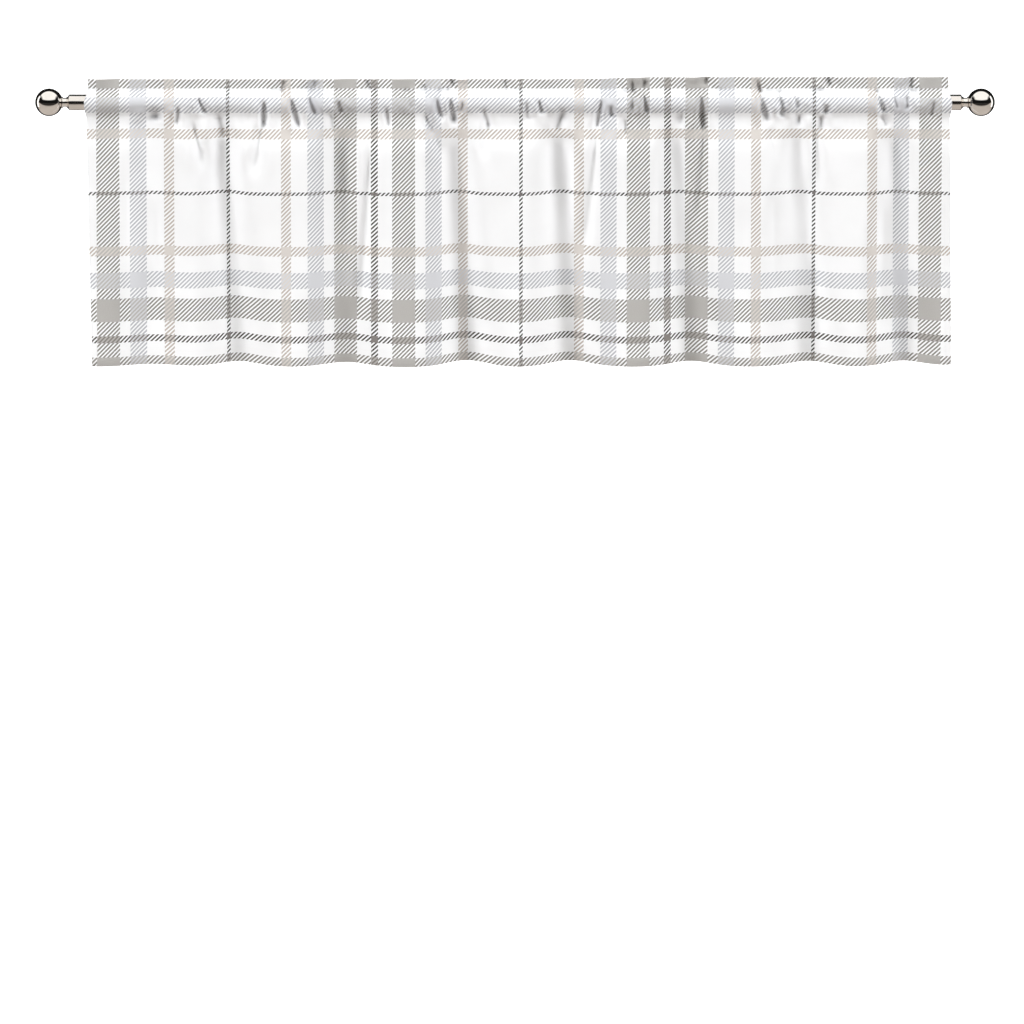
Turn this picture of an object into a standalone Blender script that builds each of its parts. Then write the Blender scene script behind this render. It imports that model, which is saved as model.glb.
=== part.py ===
"""Window valance hanging on its curtain rod: one cloth panel with a frilled header, a rod pocket and
soft folds, the round rod through the pocket, and a collar and a ball at each end of the rod.

Origin: on the rod's axis, half way along it. +X runs along the rod to the viewer's right, +Z is up,
and the printed face of the cloth looks towards -Y. All sizes are in metres.
"""
import math
from collections import namedtuple

import bmesh
import bpy
import numpy as np

# Rod
ROD_RADIUS = 0.0125
ROD_WALL = 0.001
ROD_HALF_LENGTH = 0.7092
ROD_SIDES = 32

# Finials, measured from the middle of the ball towards the rod
BALL_CENTRE = 0.7414
BALL_RADIUS = 0.022
BALL_SEAT_RADIUS = 0.0088
RING_RADIUS = 0.0094
RING_LENGTH = 0.0016
WAIST_RADIUS = 0.0072
WAIST_START = 0.0226
WAIST_END = 0.0266
FLARE_END = 0.0319
PLUG_RADIUS = 0.0108
PLUG_LENGTH = 0.022
FINIAL_SIDES = 28
SEAT_GAP = 0.0003

# Cloth
CLOTH_THICKNESS = 0.0012
HEADER_TOP_LEFT = 0.0370
HEADER_TOP_RIGHT = 0.0402
HEADER_STEP_AT = 0.16
HEADER_STEP_WIDTH = 0.06
HEADER_STITCH = 0.0178
HEADER_FRILL = 0.0036
POCKET_RADIUS = 0.0136
POCKET_BOTTOM = -0.0266
POCKET_EDGE_BELOW = 0.0030
POCKET_EDGE_STEP = 0.0045
POCKET_SLACK_FRONT = 0.0048
POCKET_SLACK_BACK = 0.0034
STITCH_WAVE = 0.0026
HEM = -0.4160
HEM_LEAN = 0.07
VALLEY_ROUNDING = 0.18
STITCH_BLEND = 0.22
STATIONS_PER_FOLD = 14
LEFT_EDGE_PLACE = 0.44
RIGHT_EDGE_PLACE = 0.57

# The cloth's own side edges, a row for each height
Edge = namedtuple("Edge", "height left right")
SIDE_EDGES = (
    Edge(0.0400, -0.6790, 0.6890),
    Edge(0.0160, -0.6800, 0.6900),
    Edge(0.0000, -0.6852, 0.6948),
    Edge(-0.0266, -0.6810, 0.6910),
    Edge(-0.1500, -0.6785, 0.6925),
    Edge(-0.4200, -0.6740, 0.6950),
)

# The folds, from left to right, a row for each valley and the crest on its right. "top" and "hem" are
# where the valley's line lies at the pocket and at the hem, "back" is how far the valley lies behind
# the rod's axis at the hem and "crest" how far the crest stands in front of it, "peak" is the crest's
# place between its two valleys, and "start" is the share of the fold's depth that it has under the
# pocket. The first and last rows' valleys lie outside the cloth and only shape its two edges.
Fold = namedtuple("Fold", "top hem back crest peak start")
FOLDS = (
    Fold(-0.7550, -0.7500, 0.004, 0.024, 0.50, 0.15),
    Fold(-0.5930, -0.5740, -0.004, 0.020, 0.38, 0.12),
    Fold(-0.4720, -0.4420, 0.018, 0.026, 0.51, 0.26),
    Fold(-0.2820, -0.2600, 0.010, 0.029, 0.48, 0.28),
    Fold(-0.1000, -0.0780, 0.024, 0.027, 0.53, 0.14),
    Fold(0.0660, 0.0870, 0.024, 0.026, 0.57, 0.22),
    Fold(0.2520, 0.2690, 0.019, 0.025, 0.53, 0.20),
    Fold(0.4450, 0.4630, 0.019, 0.025, 0.50, 0.16),
    Fold(0.6020, 0.6220, 0.022, 0.014, 0.48, 0.18),
    Fold(0.7560, 0.7480, 0.006, 0.0, 0.50, 0.15),
)

# Gathers where the cloth is pushed together on the rod, as waves of unlike length
Gather = namedtuple("Gather", "wavelength share phase")
GATHERS = (
    Gather(0.0470, 0.40, 0.4),
    Gather(0.0710, 0.35, 2.1),
    Gather(0.1190, 0.25, 4.4),
)

# How much of the pocket's slack each point round the rod takes, by its angle from straight up
PocketPoint = namedtuple("PocketPoint", "angle slack")
POCKET_POINTS = (
    PocketPoint(0, 0.0),
    PocketPoint(36, 0.25),
    PocketPoint(72, 0.80),
    PocketPoint(106, 1.00),
    PocketPoint(140, 0.90),
)

# Rows of the cloth above and below the pocket, as shares of the header and of the drop
HEADER_ROWS = (1.0, 0.52, 0.0)
DROP_ROWS = (0.0, 0.07, 0.16, 0.30, 0.48, 0.66, 0.83, 1.0)

CLOTH_COLOUR = (0.86, 0.86, 0.855, 1.0)
METAL_COLOUR = (0.72, 0.70, 0.67, 1.0)


def clear_scene():
    for scene_object in list(bpy.data.objects):
        bpy.data.objects.remove(scene_object, do_unlink=True)


def make_collection(name):
    collection = bpy.data.collections.new(name)
    bpy.context.scene.collection.children.link(collection)
    return collection


def make_material(name, colour, roughness, metallic):
    material = bpy.data.materials.new(name)
    material.use_nodes = True
    shader = material.node_tree.nodes["Principled BSDF"]
    shader.inputs["Base Color"].default_value = colour
    shader.inputs["Roughness"].default_value = roughness
    shader.inputs["Metallic"].default_value = metallic
    material.diffuse_color = colour
    return material


def edge_at(height, side):
    """The x of the cloth's left or right edge at a height."""
    heights = [edge.height for edge in reversed(SIDE_EDGES)]
    places = [getattr(edge, side) for edge in reversed(SIDE_EDGES)]
    return float(np.interp(height, heights, places))


def drop_share(height):
    """How far a height lies down the drop: 0 at the pocket and above it, 1 at the hem."""
    return min(max((POCKET_BOTTOM - height) / (POCKET_BOTTOM - HEM), 0.0), 1.0)


def valley_at(fold, height):
    """The x of a valley's line at a height."""
    share = drop_share(height)
    return fold.top + (fold.hem - fold.top) * share


def crest_rise(number, place):
    """How high a fold stands at a place: 0 at the valleys on either side, 1 at its crest."""
    evened = place ** (math.log(0.5) / math.log(FOLDS[number].peak))
    rounded = math.sqrt(math.sin(math.pi * evened) ** 2 + VALLEY_ROUNDING ** 2) - VALLEY_ROUNDING
    return rounded / (math.sqrt(1 + VALLEY_ROUNDING ** 2) - VALLEY_ROUNDING)


def station_places():
    """The cloth's sections from left to right, each as a fold's number and its place in that fold."""
    last = len(FOLDS) - 2
    places = []
    for number in range(last + 1):
        start = LEFT_EDGE_PLACE if number == 0 else 0.0
        end = RIGHT_EDGE_PLACE if number == last else 1.0
        steps = round(STATIONS_PER_FOLD * (end - start))
        for step in range(steps):
            places.append((number, start + (end - start) * step / steps))
    places.append((last, RIGHT_EDGE_PLACE))
    return places


def station_x(number, place, height):
    """The x of a section at a height: valleys stay on their lines, and both ends reach the side edges."""
    start = valley_at(FOLDS[number], height)
    end = valley_at(FOLDS[number + 1], height)
    if number == 0:
        share = (place - LEFT_EDGE_PLACE) / (1 - LEFT_EDGE_PLACE)
        left = edge_at(height, "left")
        return left + (end - left) * share
    if number == len(FOLDS) - 2:
        return start + (edge_at(height, "right") - start) * place / RIGHT_EDGE_PLACE
    return start + (end - start) * place


def fold_depth(number, place, height):
    """How far the cloth lies in front of the rod's axis because of the main folds."""
    here = FOLDS[number]
    after = FOLDS[number + 1]
    start = here.start + (after.start - here.start) * place
    growth = start + (1 - start) * drop_share(height)
    valley = here.back + (after.back - here.back) * place
    rise = crest_rise(number, place)
    return growth * (here.crest * rise - valley * (1 - rise))


def gather(x, shift=0.0):
    """A number from 0 to 1 that rises and falls along the rod, as the gathered cloth does."""
    total = sum(wave.share * math.sin(2 * math.pi * x / wave.wavelength + wave.phase + shift)
                for wave in GATHERS)
    return 0.5 + 0.5 * total


def header_top(x):
    """The height of the header's top edge, which steps up a little towards the right."""
    step = 0.5 + 0.5 * math.tanh((x - HEADER_STEP_AT) / HEADER_STEP_WIDTH)
    return HEADER_TOP_LEFT + (HEADER_TOP_RIGHT - HEADER_TOP_LEFT) * step


def header_points(number, place):
    """The header's middle plane, from its top edge to its stitch."""
    points = []
    for share in HEADER_ROWS:
        x = station_x(number, place, HEADER_STITCH + 0.02 * share)
        z = HEADER_STITCH + (header_top(x) - HEADER_STITCH) * share
        y = -HEADER_FRILL * (2 * gather(x, 1.3) - 1) * share
        points.append((x, y, z))
    return points


def pocket_points(number, place, side):
    """The pocket's inner face round the rod. side is -1 for the front layer and 1 for the back one."""
    slack = POCKET_SLACK_FRONT if side < 0 else POCKET_SLACK_BACK
    points = []
    for point in POCKET_POINTS:
        angle = math.radians(point.angle)
        z = POCKET_RADIUS * math.cos(angle)
        x = station_x(number, place, z)
        fullness = gather(x, 0.0 if side < 0 else 2.4)
        if side < 0:
            fullness = 0.5 * fullness + 0.5 * crest_rise(number, place)
        y = side * (POCKET_RADIUS * math.sin(angle) + slack * point.slack * fullness)
        points.append((x, y, z))
    return points


def drop_points(number, place):
    """The back face of the hanging cloth: the pocket's bottom stitch, then the rows down to the hem."""
    stitched = -STITCH_WAVE * (2 * crest_rise(number, place) - 1)
    below = POCKET_BOTTOM - POCKET_EDGE_STEP
    points = [(station_x(number, place, POCKET_BOTTOM), stitched, POCKET_BOTTOM)]
    for share in DROP_ROWS:
        height = below + (HEM - below) * share
        blend = min(share / STITCH_BLEND, 1.0)
        y = stitched + (-fold_depth(number, place, height) - stitched) * blend
        points.append((station_x(number, place, height), y, height + HEM_LEAN * y * share))
    return points


def outward(rows, side):
    """The rows moved one thickness of cloth outwards, front (-1) or back (1)."""
    along = np.gradient(rows, axis=0)
    down = np.gradient(rows, axis=1)
    normal = np.cross(along, down) * side
    normal /= np.linalg.norm(normal, axis=2, keepdims=True)
    return rows + normal * CLOTH_THICKNESS


def cloth_section_faces(front, back, tunnel, sheet):
    """The faces of the cloth's cut end: header, pocket walls, the join under the pocket and the drop."""
    header = len(HEADER_ROWS)
    pocket = len(POCKET_POINTS)
    front_wall = tunnel[:pocket + 1]
    back_wall = [tunnel[0]] + tunnel[:pocket:-1] + [tunnel[pocket]]
    faces = []
    for row in range(header - 1):
        faces.append((front[row], front[row + 1], back[row + 1], back[row]))
    last = header - 1
    faces.append((front[last], front[header], tunnel[0], back[header], back[last]))
    for row in range(pocket):
        faces.append((front[header + row], front[header + row + 1], front_wall[row + 1], front_wall[row]))
        faces.append((back[header + row], back_wall[row], back_wall[row + 1], back[header + row + 1]))
    bottom = header + pocket
    faces.append((front[bottom], front[bottom + 1], sheet[0], back[bottom + 1], back[bottom],
                  tunnel[pocket]))
    for row in range(len(sheet) - 1):
        faces.append((front[bottom + 1 + row], front[bottom + 2 + row], sheet[row + 1], sheet[row]))
    return faces


def make_cloth(collection):
    """The whole valance as a loft between its sections, with the rod pocket open at both ends."""
    places = station_places()
    header = np.array([header_points(*place) for place in places])
    front_pocket = np.array([pocket_points(*place, -1) for place in places])
    back_pocket = np.array([pocket_points(*place, 1) for place in places])
    drop = np.array([drop_points(*place) for place in places])

    front_reference = np.concatenate([header, front_pocket, drop], axis=1)
    front = outward(front_reference, -1)
    below_stitch = drop[:, 1:2].copy()
    below_stitch[:, :, 2] += POCKET_EDGE_STEP - POCKET_EDGE_BELOW
    back_reference = np.concatenate([header, back_pocket, drop[:, :1], below_stitch], axis=1)
    back = outward(back_reference, 1)
    sheet = drop[:, 1:]
    tunnel = np.concatenate([front_pocket, drop[:, :1], back_pocket[:, :0:-1]], axis=1)

    mesh = bmesh.new()
    sections = []
    for station in range(len(places)):
        section = [[mesh.verts.new(point) for point in rows[station]]
                   for rows in (front, back, tunnel, sheet)]
        sections.append(section)
    for here, after in zip(sections, sections[1:]):
        for loop_here, loop_after in zip(section_loops(here), section_loops(after)):
            count = len(loop_here)
            for spot in range(count):
                following = (spot + 1) % count
                mesh.faces.new((loop_here[spot], loop_here[following],
                                loop_after[following], loop_after[spot]))
    for section in (sections[0], sections[-1]):
        for corners in cloth_section_faces(*section):
            mesh.faces.new(corners)
    bmesh.ops.recalc_face_normals(mesh, faces=mesh.faces[:])
    data = bpy.data.meshes.new("valance")
    mesh.to_mesh(data)
    mesh.free()
    data.shade_smooth()
    cloth = bpy.data.objects.new("valance", data)
    collection.objects.link(cloth)
    data.materials.append(make_material("printed cloth", CLOTH_COLOUR, 0.85, 0.0))
    return cloth


def section_loops(section):
    """A section's two closed outlines: the outside of the cloth, and the inside of the pocket."""
    front, back, tunnel, sheet = section
    return front + sheet[::-1] + back[::-1], tunnel


def turned(name, outline, sides, material, collection):
    """A piece turned round the rod's axis. outline lists its (x, radius) points, and its outer side
    runs from left to right."""
    mesh = bmesh.new()
    corners = [mesh.verts.new((x, 0.0, radius)) for x, radius in outline]
    for start, end in zip(corners, corners[1:]):
        mesh.edges.new((start, end))
    data = bpy.data.meshes.new(name)
    mesh.to_mesh(data)
    mesh.free()
    piece = bpy.data.objects.new(name, data)
    collection.objects.link(piece)
    data.materials.append(material)
    screw = piece.modifiers.new("turn", "SCREW")
    screw.axis = "X"
    screw.steps = sides
    screw.render_steps = sides
    screw.use_merge_vertices = True
    screw.merge_threshold = 0.00002
    screw.use_normal_flip = True
    screw.use_smooth_shade = True
    return piece


def arc(centre, radius, start, end, steps):
    """Points (distance, radius) along an arc about a point on the axis, by angle in degrees."""
    points = []
    for step in range(steps + 1):
        angle = math.radians(start + (end - start) * step / steps)
        points.append((centre - radius * math.cos(angle), radius * math.sin(angle)))
    return points


def ball_outline():
    """The ball, as (distance from its middle towards the rod, radius), with a flat seat for its collar."""
    seat_angle = 180 - math.degrees(math.asin(BALL_SEAT_RADIUS / BALL_RADIUS))
    points = arc(0.0, BALL_RADIUS, 0, seat_angle, 15)
    seat = points[-1][0]
    return points + [(seat, 0.0)]


def neck_outline():
    """The collar: a small ring, a waisted neck, a flare up to the rod's size, and a plug inside it."""
    seat = math.sqrt(BALL_RADIUS ** 2 - BALL_SEAT_RADIUS ** 2) + SEAT_GAP
    ring_end = seat + RING_LENGTH
    end = BALL_CENTRE - ROD_HALF_LENGTH - SEAT_GAP
    return [
        (seat, 0.0),
        (seat, RING_RADIUS - 0.0006),
        (seat + 0.0004, RING_RADIUS),
        (ring_end - 0.0004, RING_RADIUS),
        (ring_end, RING_RADIUS - 0.0006),
        (WAIST_START, WAIST_RADIUS + 0.0004),
        ((WAIST_START + WAIST_END) / 2, WAIST_RADIUS),
        (WAIST_END, WAIST_RADIUS + 0.0006),
        ((WAIST_END + FLARE_END) / 2, (WAIST_RADIUS + ROD_RADIUS) / 2 + 0.0006),
        (FLARE_END - 0.0006, ROD_RADIUS - 0.0002),
        (FLARE_END, ROD_RADIUS),
        (end, ROD_RADIUS),
        (end, PLUG_RADIUS),
        (end + PLUG_LENGTH, PLUG_RADIUS),
        (end + PLUG_LENGTH, 0.0),
    ]


def rod_outline():
    inner = ROD_RADIUS - ROD_WALL
    return [
        (-ROD_HALF_LENGTH, inner),
        (-ROD_HALF_LENGTH, ROD_RADIUS),
        (ROD_HALF_LENGTH, ROD_RADIUS),
        (ROD_HALF_LENGTH, inner),
        (-ROD_HALF_LENGTH, inner),
    ]


def placed(outline, side):
    """An outline given from a ball's middle towards the rod, put at the left (-1) or right (1) end."""
    points = [(side * (BALL_CENTRE - distance), radius) for distance, radius in outline]
    return points if side < 0 else points[::-1]


def main():
    clear_scene()
    collection = make_collection("window valance on rod")
    metal = make_material("polished metal", METAL_COLOUR, 0.18, 1.0)
    make_cloth(collection)
    turned("rod", rod_outline(), ROD_SIDES, metal, collection)
    for side, name in ((-1, "left"), (1, "right")):
        turned(f"finial_neck_{name}", placed(neck_outline(), side), FINIAL_SIDES, metal, collection)
        turned(f"finial_ball_{name}", placed(ball_outline(), side), FINIAL_SIDES, metal, collection)


main()
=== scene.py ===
"""Window valance on its curtain rod: cloth, print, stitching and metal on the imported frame.

The frame's origin is on the rod's axis, half way along it. +X runs to the viewer's right, +Z is up, and the
printed face looks towards -Y. Sizes are in metres, apart from the crease table, which is in millimetres.
"""
import math
from collections import namedtuple

import bpy
import numpy as np
from bpy.props import FloatProperty, FloatVectorProperty, IntProperty, PointerProperty
from bpy.types import Operator, Panel, PropertyGroup
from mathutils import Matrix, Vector


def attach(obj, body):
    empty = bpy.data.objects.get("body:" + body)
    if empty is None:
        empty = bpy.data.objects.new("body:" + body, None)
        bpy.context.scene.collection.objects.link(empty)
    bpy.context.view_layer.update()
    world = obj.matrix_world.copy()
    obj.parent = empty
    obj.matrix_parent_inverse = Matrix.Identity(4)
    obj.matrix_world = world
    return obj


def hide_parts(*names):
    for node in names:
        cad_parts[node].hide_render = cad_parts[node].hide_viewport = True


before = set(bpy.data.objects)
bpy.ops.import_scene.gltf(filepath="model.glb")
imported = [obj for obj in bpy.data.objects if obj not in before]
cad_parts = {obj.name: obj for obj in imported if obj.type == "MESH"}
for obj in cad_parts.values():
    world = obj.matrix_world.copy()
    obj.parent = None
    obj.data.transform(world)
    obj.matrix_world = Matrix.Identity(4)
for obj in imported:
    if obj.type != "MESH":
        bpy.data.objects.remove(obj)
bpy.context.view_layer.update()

bl_info = {
    "name": "Window valance on its curtain rod",
    "version": (1, 0, 0),
    "blender": (4, 5, 0),
    "location": "3D View > Sidebar > Valance",
    "description": "Dresses the packed valance, rod and finials with cloth, print, stitching and metal",
    "category": "Object",
}

BODY = "root"
MM = 0.001

# Rod and finials, the finials measured from the middle of the ball towards the rod
ROD_RADIUS = 0.0125
ROD_WALL = 0.001
ROD_HALF_LENGTH = 0.7092
BALL_CENTRE = 0.7414
BALL_RADIUS = 0.022
BALL_SEAT_RADIUS = 0.0088
RING_RADIUS = 0.0094
RING_LENGTH = 0.0016
WAIST_RADIUS = 0.0072
WAIST_START = 0.0226
WAIST_END = 0.0266
FLARE_END = 0.0319
PLUG_RADIUS = 0.0108
PLUG_LENGTH = 0.022
SEAT_GAP = 0.0003

# Cloth
HEADER_TOP_LEFT = 0.0370
HEADER_TOP_RIGHT = 0.0402
HEADER_STEP_AT = 0.16
HEADER_STEP_WIDTH = 0.06
HEADER_STITCH = 0.0178
POCKET_BOTTOM = -0.0266
POCKET_EDGE_BELOW = 0.0030
POCKET_EDGE_STEP = 0.0045
POCKET_TAUT_RADIUS = 0.0134
POCKET_LEAST_RADIUS = 0.0131
BACK_DRAWN_FROM = 2.5
BACK_GATHERING = 2.4
STITCH_WAVE = 0.0034
STITCH_FORWARD = 0.0070
HEM = -0.4195
HEM_LEAN = 0.07
STITCH_BLEND = 0.65
FOLD_START = 0.12
LEFT_EDGE_PLACE = 0.44
RIGHT_EDGE_PLACE = 0.57
LAYER_STEP = 0.0009
SIDE_HEM = 0.012

# How far the pocket's front puffs out, as shares of its slack: anywhere, where it is gathered and on a
# crest. The last is how round the puff is.
PUFF_ANYWHERE = 0.45
PUFF_GATHERED = 0.3
PUFF_ON_CREST = 0.25
PUFF_ROUNDNESS = 1.3

# Each valley is a narrow groove in a gentle wave: the groove's share of the depth, its half width under
# the pocket and at the hem, how sharp and how softly turned its bottom is, and how softly the wave turns
GROOVE_SHARE = 0.80
GROOVE_TOP = 0.0160
GROOVE_HEM = 0.0390
GROOVE_SHARPNESS = 1.75
GROOVE_SOFTNESS = 0.0060
VALLEY_ROUNDING = 0.20

# The cloth's own side edges, a row for each height
Edge = namedtuple("Edge", "height left right")
SIDE_EDGES = (
    Edge(0.0400, -0.6790, 0.6890),
    Edge(0.0160, -0.6800, 0.6900),
    Edge(0.0000, -0.6852, 0.6948),
    Edge(-0.0266, -0.6810, 0.6910),
    Edge(-0.1500, -0.6785, 0.6925),
    Edge(-0.4200, -0.6740, 0.6950),
)

# The folds, from left to right, a row for each valley and the crest on its right. "top" and "hem" are
# where the valley's line lies at the pocket and at the hem, "back" is how far the valley lies behind
# the rod's axis at the hem and "crest" how far the crest stands in front of it, "peak" is the crest's
# place between its two valleys, and "start" is the share of the fold's depth that it has under the
# pocket. The first and last rows' valleys lie outside the cloth and only shape its two edges.
Fold = namedtuple("Fold", "top hem back crest peak start")
FOLDS = (
    Fold(-0.7550, -0.7500, 0.004, 0.024, 0.50, 0.20),
    Fold(-0.5660, -0.5800, -0.004, 0.020, 0.38, 0.30),
    Fold(-0.4720, -0.4420, 0.018, 0.026, 0.51, 0.38),
    Fold(-0.2820, -0.2700, 0.010, 0.029, 0.48, 0.42),
    Fold(-0.1000, -0.0780, 0.024, 0.027, 0.53, 0.34),
    Fold(0.0660, 0.0870, 0.024, 0.026, 0.57, 0.40),
    Fold(0.2520, 0.2800, 0.019, 0.025, 0.53, 0.38),
    Fold(0.4450, 0.4680, 0.019, 0.025, 0.50, 0.34),
    Fold(0.6020, 0.6220, 0.022, 0.014, 0.48, 0.36),
    Fold(0.7560, 0.7480, 0.006, 0.0, 0.50, 0.15),
)

# Gathers where the cloth is pushed together on the rod, as waves of unlike length
Gather = namedtuple("Gather", "wavelength share phase")
GATHERS = (
    Gather(0.0470, 0.40, 0.4),
    Gather(0.0710, 0.35, 2.1),
    Gather(0.1190, 0.25, 4.4),
)

# Small puckers that the two rows of stitches draw into the cloth beside them
PUCKERS = (
    Gather(0.0130, 0.34, 1.1),
    Gather(0.0190, 0.36, 3.7),
    Gather(0.0310, 0.30, 5.2),
)
PUCKER_REACH = 0.007

# Where the pocket lies tight on the rod: a middle and a half width along it, and the share of its slack
# that is left there
Tight = namedtuple("Tight", "middle reach left")
TIGHT_PLACES = (
    Tight(-0.620, 0.056, -0.15),
    Tight(-0.457, 0.022, 0.50),
    Tight(-0.272, 0.014, 0.60),
    Tight(0.522, 0.030, 0.60),
)

# Creases on the front, a row for each, in millimetres: where its line starts and ends, seen from the
# front, half its width and its depth. Each is a soft trough between two low ridges.
Crease = namedtuple("Crease", "top_x top_z end_x end_z width depth")
HEADING_CREASES = (
    Crease(-573, -6, -571, -31, 7.5, 2.2),
    Crease(-535, -3, -539, -41, 3.4, 1.6),
    Crease(-515, 10, -510, -15, 3.2, 1.0),
    Crease(-506, 12, -491, -19, 3.2, 2.2),
    Crease(-474, -15, -463, -60, 6.0, 1.6),
    Crease(-399, 7, -400, -44, 3.4, 2.6),
    Crease(-358, 13, -341, -47, 3.6, 2.4),
    Crease(-368, 37, -373, 13, 4.5, 1.8),
    Crease(-329, 15, -316, -22, 3.6, 2.0),
    Crease(-315, 36, -328, 12, 5.0, 1.6),
    Crease(-295, -12, -290, -54, 4.2, 1.2),
    Crease(-282, 5, -275, -17, 3.6, 1.8),
    Crease(-237, 39, -229, 16, 3.6, 1.6),
    Crease(-205, -3, -200, -44, 3.6, 1.6),
    Crease(-177, 23, -161, -11, 3.6, 1.2),
    Crease(-143, 29, -145, 13, 3.6, 1.2),
    Crease(-142, -15, -134, -54, 4.0, 1.2),
    Crease(-126, 12, -115, -28, 3.8, 1.8),
    Crease(-124, 12, -102, 24, 4.0, 1.4),
    Crease(-103, 39, -95, 23, 5.0, 2.2),
    Crease(-104, 13, -95, -38, 3.6, 2.6),
    Crease(-84, 5, -86, -17, 3.4, 1.4),
    Crease(-51, -6, -40, -44, 4.0, 1.4),
    Crease(-16, 39, -13, 15, 4.0, 1.4),
    Crease(18, 7, 21, -34, 5.0, 1.2),
    Crease(37, 8, 44, -19, 3.4, 1.8),
    Crease(81, -6, 64, -50, 5.5, 2.0),
    Crease(139, 12, 129, -47, 3.8, 2.0),
    Crease(150, -1, 154, -25, 3.6, 1.8),
    Crease(177, 20, 172, 0, 3.4, 1.6),
    Crease(175, -22, 177, -57, 4.0, 1.0),
    Crease(187, 42, 188, -17, 3.6, 1.8),
    Crease(208, 36, 201, 21, 4.0, 1.8),
    Crease(204, 18, 210, -19, 3.4, 2.4),
    Crease(267, -14, 266, -38, 5.0, 1.2),
    Crease(296, 20, 299, -50, 3.8, 2.6),
    Crease(306, 42, 302, 26, 5.0, 1.8),
    Crease(384, 42, 404, -38, 4.0, 2.6),
    Crease(402, 21, 410, 7, 3.4, 1.2),
    Crease(418, 21, 428, -8, 3.4, 2.2),
    Crease(428, -4, 421, -23, 3.4, 2.0),
    Crease(443, 20, 451, -9, 3.4, 1.8),
    Crease(453, -17, 452, -38, 3.6, 1.4),
    Crease(490, 23, 478, 12, 4.0, 1.4),
    Crease(496, -1, 492, -19, 3.6, 2.0),
    Crease(486, -17, 488, -47, 5.5, 2.2),
    Crease(496, 42, 504, 23, 4.5, 2.0),
    Crease(573, 23, 590, -17, 3.6, 2.4),
    Crease(579, -17, 593, -41, 4.2, 1.6),
    Crease(602, 15, 610, -11, 3.6, 1.6),
    Crease(622, 15, 625, -12, 4.0, 1.8),
    Crease(628, 29, 632, 10, 3.4, 1.6),
    Crease(632, 42, 628, 23, 4.0, 1.6),
    Crease(640, 26, 638, 8, 3.4, 1.4),
    Crease(668, 7, 660, -25, 4.0, 1.4),
)
DROP_CREASES = (
    Crease(-620, -60, -617, -397, 7.0, 1.2),
    Crease(-598, -28, -595, -133, 8.0, 1.0),
    Crease(-573, -140, -570, -386, 7.5, 1.2),
    Crease(-514, -25, -496, -108, 5.0, 2.6),
    Crease(-402, -28, -416, -117, 5.5, 2.4),
    Crease(-259, -22, -270, -163, 7.5, 1.0),
    Crease(-228, -25, -248, -370, 5.2, 2.4),
    Crease(-134, -25, -118, -89, 5.0, 1.6),
    Crease(-41, -25, -50, -89, 5.0, 1.6),
    Crease(-24, -124, -16, -315, 12, 0.8),
    Crease(132, -25, 110, -254, 6.0, 2.6),
    Crease(177, -25, 172, -76, 5.0, 1.0),
    Crease(231, -44, 226, -385, 5.0, 1.3),
    Crease(301, -25, 292, -213, 4.8, 2.2),
    Crease(366, -140, 361, -386, 11, 0.8),
    Crease(406, -34, 415, -92, 6.0, 1.4),
    Crease(412, -130, 418, -340, 9.0, 1.8),
    Crease(480, -25, 486, -140, 5.0, 2.4),
    Crease(479, -235, 485, -397, 7.0, 1.2),
    Crease(587, -140, 581, -397, 9.0, 2.4),
    Crease(654, -25, 651, -117, 5.5, 1.2),
)
CREASE_BREADTH = 1.35
CREASE_WIDENING = 0.5
CREASE_FADE = 0.25
BACK_RELIEF_FADE = 0.5
TROUGH_SHARPNESS = 1.3
DROP_CREASE_SHARE = 0.7
RIDGE_SHARE = 0.35
RIDGE_PLACE = 1.9
RIDGE_WIDTH = 1.1

# The plaid, the same across and down the cloth: a half repeat runs from a medium dark line to a thin
# dark one and is mirrored at both. Each band's middle and half width are distances from the medium line.
HALF_REPEAT = 0.2332
PRINT_MIDDLE_X = 0.0095
PRINT_MIDDLE_Z = -0.1442

# How far the folds carry the print along the rod near the cloth's two ends
Drift = namedtuple("Drift", "x shift")
PRINT_DRIFT = (
    Drift(-0.6000, -0.0043),
    Drift(-0.5500, -0.0009),
    Drift(-0.4570, 0.0),
    Drift(0.6100, 0.0),
    Drift(0.6600, -0.0021),
)

# How far the print lies above its even places at each height
Rise = namedtuple("Rise", "height shift")
PRINT_RISE = (
    Rise(-0.1200, 0.0),
    Rise(-0.0600, 0.0022),
    Rise(0.0080, 0.0022),
    Rise(0.0200, -0.0020),
)
Band = namedtuple("Band", "ink middle half_width")
BANDS = (
    Band("medium_dark", 0.0, 0.0051),
    Band("taupe", 0.0461, 0.0180),
    Band("light_grey", 0.0934, 0.0129),
    Band("beige", 0.1402, 0.0080),
    Band("thin_dark", HALF_REPEAT, 0.0031),
)

# The cloth's grid: columns across it, and rows in each of its stretches
FINE_COLUMNS = 640
TURN_UP_ROWS = 3
FOLD_ROWS = 3
DROP_ROWS = 32
UPPER_DROP_ROWS = 12
UPPER_DROP_END = -0.0750
POCKET_FRONT_ROWS = 17
HEADER_FRONT_ROWS = 8
HEADER_BACK_ROWS = 9
POCKET_BACK_ROWS = 10
EDGE_ROWS = 1

# The large light overhead, as the sines of the angles where it fades: above eye level and to each side,
# and how far it reaches behind the valance for each metre of its height
OVERHEAD_EDGE = (0.36, 0.47)
OVERHEAD_SIDE = (0.72, 0.85)
OVERHEAD_BACK = 0.42
ROOM_DARK = 0.008

# How far behind the rod the white floor starts, which the metal doesn't mirror
FLOOR_PART = 1.6

# The picture's frame, for the camera: its size, its scale at the rod, and the rod's middle in it
PICTURE_PIXELS = 1024
METRES_PER_PIXEL = 0.001591
ROD_COLUMN = 515.0
ROD_LINE = 102.3


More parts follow.
